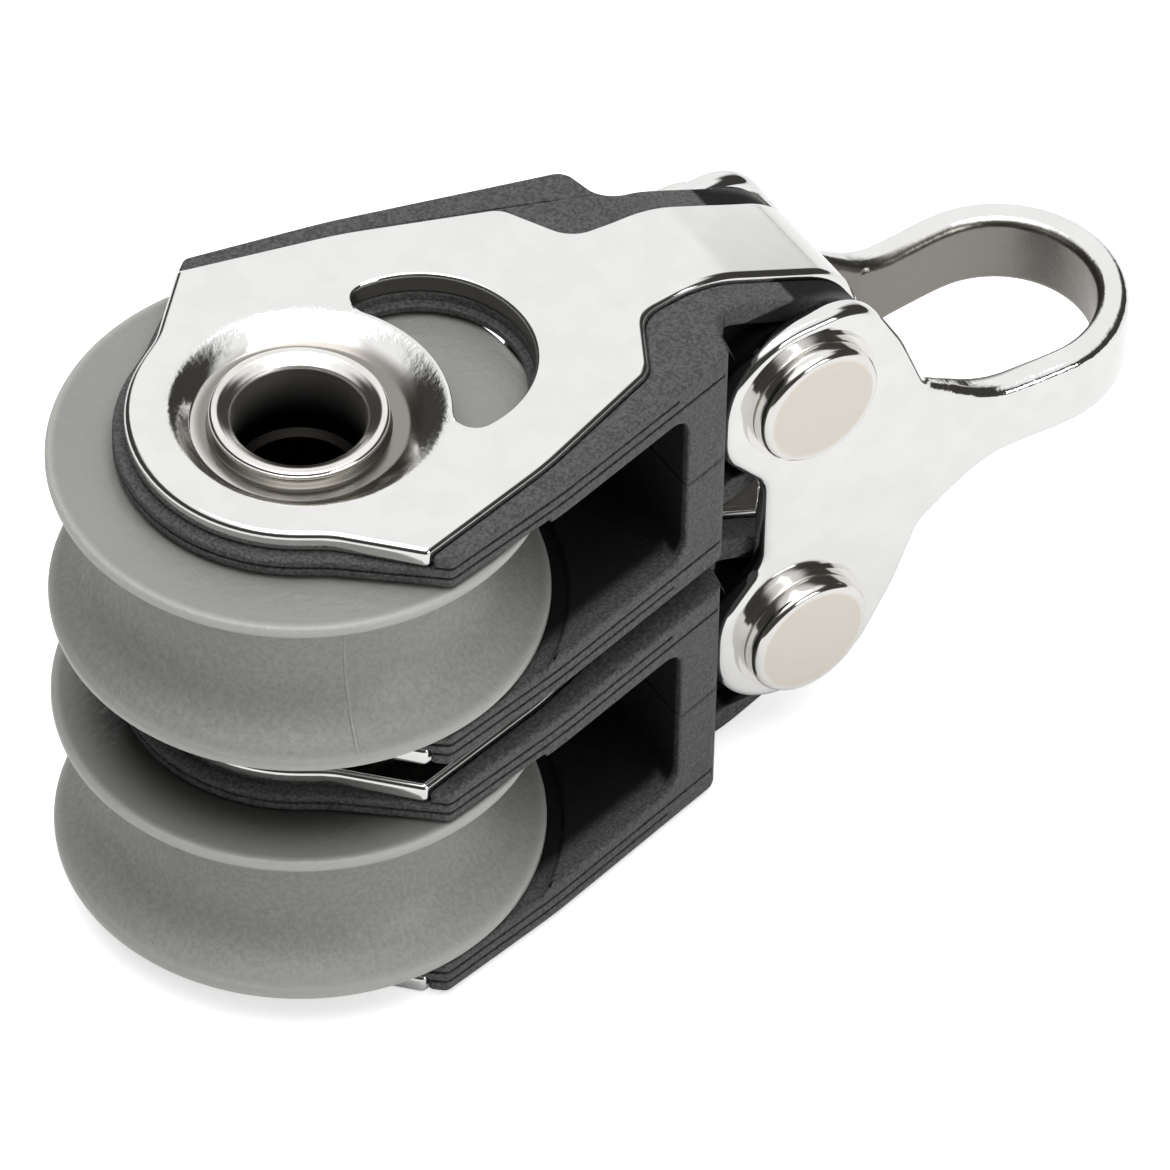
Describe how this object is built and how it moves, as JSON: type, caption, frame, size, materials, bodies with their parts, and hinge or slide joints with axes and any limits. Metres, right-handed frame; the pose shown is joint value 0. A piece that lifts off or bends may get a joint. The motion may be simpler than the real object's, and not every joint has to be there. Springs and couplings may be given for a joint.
{
  "type": "double sheave block",
  "caption": "Double sailing block: ball-bearing rope sheaves stacked on one hollow axle in steel straps and moulded cheeks, with a fixed forked shackle.",
  "frame": {"origin": "centre of the hollow axle, midway between the two blocks", "axes": "+Z along the hollow axle, +X from the axle towards the shackle's loop, +Y across the block"},
  "size_m": [0.0738, 0.03, 0.0384],
  "materials": {
    "polished_stainless": "polished",
    "turned_steel": "turned and polished",
    "rivet_steel": "satin",
    "moulded_nylon": "fine moulded grain",
    "sheave_acetal": "satin, slightly mottled",
    "bearing_plastic": "smooth"
  },
  "bodies": {
    "frame": {"upper_strap": "polished_stainless", "upper_outer_cheek": "moulded_nylon", "upper_inner_cheek": "moulded_nylon", "upper_bearing_race": "bearing_plastic", "upper_thrust_washers": "bearing_plastic", "upper_head_rivet": "rivet_steel", "upper_head_bush": "turned_steel", "lower_strap": "polished_stainless", "lower_outer_cheek": "moulded_nylon", "lower_inner_cheek": "moulded_nylon", "lower_bearing_race": "bearing_plastic", "lower_thrust_washers": "bearing_plastic", "lower_head_rivet": "rivet_steel", "lower_head_bush": "turned_steel", "axle_tube": "turned_steel", "centre_spacer": "turned_steel", "shackle": "polished_stainless", "rivet_washers": "rivet_steel"},
    "upper_wheel": {"upper_sheave": "sheave_acetal"},
    "upper_ball_set": {"upper_bearing_balls": "bearing_plastic"},
    "lower_wheel": {"lower_sheave": "sheave_acetal"},
    "lower_ball_set": {"lower_bearing_balls": "bearing_plastic"}
  },
  "joints": [
    {"name": "upper_sheave_spin", "type": "hinge", "parent": "frame", "child": "upper_wheel", "pos_m": [0, 0, 0.01], "axis": [0, 0, 1], "continuous": true},
    {"name": "upper_ball_orbit", "type": "hinge", "parent": "frame", "child": "upper_ball_set", "pos_m": [0, 0, 0.01], "axis": [0, 0, 1], "continuous": true},
    {"name": "lower_sheave_spin", "type": "hinge", "parent": "frame", "child": "lower_wheel", "pos_m": [0, 0, -0.01], "axis": [0, 0, 1], "continuous": true},
    {"name": "lower_ball_orbit", "type": "hinge", "parent": "frame", "child": "lower_ball_set", "pos_m": [0, 0, -0.01], "axis": [0, 0, 1], "continuous": true}
  ],
  "couplings": [
    {"joint": "upper_ball_orbit", "follows": "upper_sheave_spin", "ratio": 0.564},
    {"joint": "lower_ball_orbit", "follows": "lower_sheave_spin", "ratio": 0.564}
  ]
}
